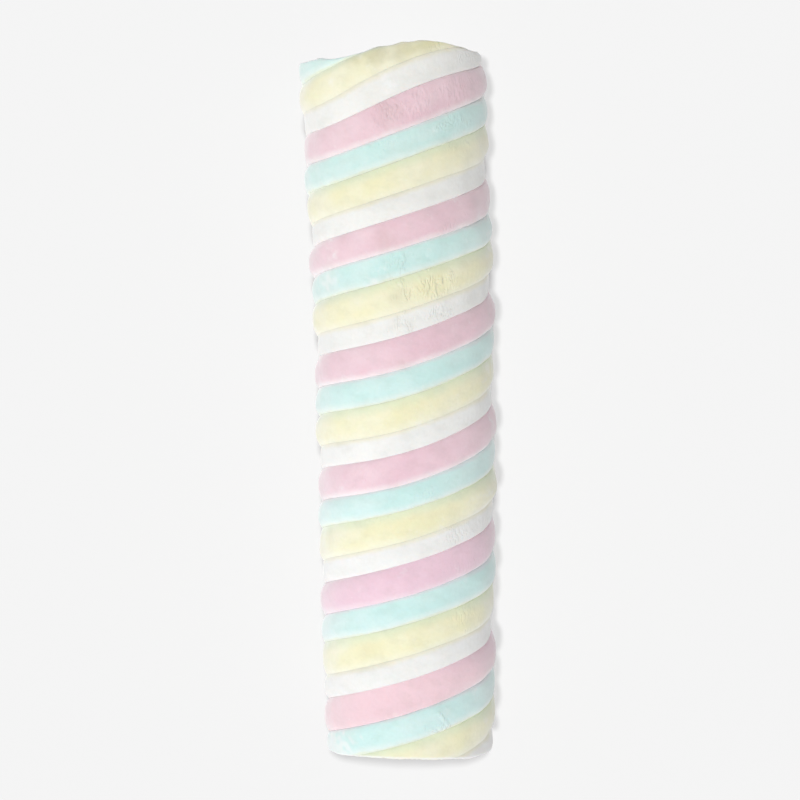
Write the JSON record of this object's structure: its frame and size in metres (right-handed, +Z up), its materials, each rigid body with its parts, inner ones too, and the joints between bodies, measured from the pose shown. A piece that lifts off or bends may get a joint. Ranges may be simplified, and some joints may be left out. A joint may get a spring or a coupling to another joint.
{
  "type": "twisted marshmallow",
  "caption": "Giant twisted marshmallow: soft yellow, white, pink and pale blue strands wound into one thick rope, cut across at both ends.",
  "frame": {"origin": "on the surface that it lies on, under the middle of its box", "axes": "+Y along the twist towards its domed head end, +Z up from the flattened resting side"},
  "size_m": [0.0682, 0.2466, 0.0474],
  "materials": {
    "yellow_marshmallow": "soft matte pale yellow marshmallow with a thin dusty skin",
    "white_marshmallow": "soft matte white marshmallow with a thin dusty skin",
    "pink_marshmallow": "soft matte pale pink marshmallow with a thin dusty skin",
    "blue_marshmallow": "soft matte pale aqua blue marshmallow with a thin dusty skin"
  },
  "bodies": {
    "root": {"strand_yellow": "yellow_marshmallow", "strand_white": "white_marshmallow", "strand_pink": "pink_marshmallow", "strand_blue": "blue_marshmallow"}
  },
  "joints": []
}
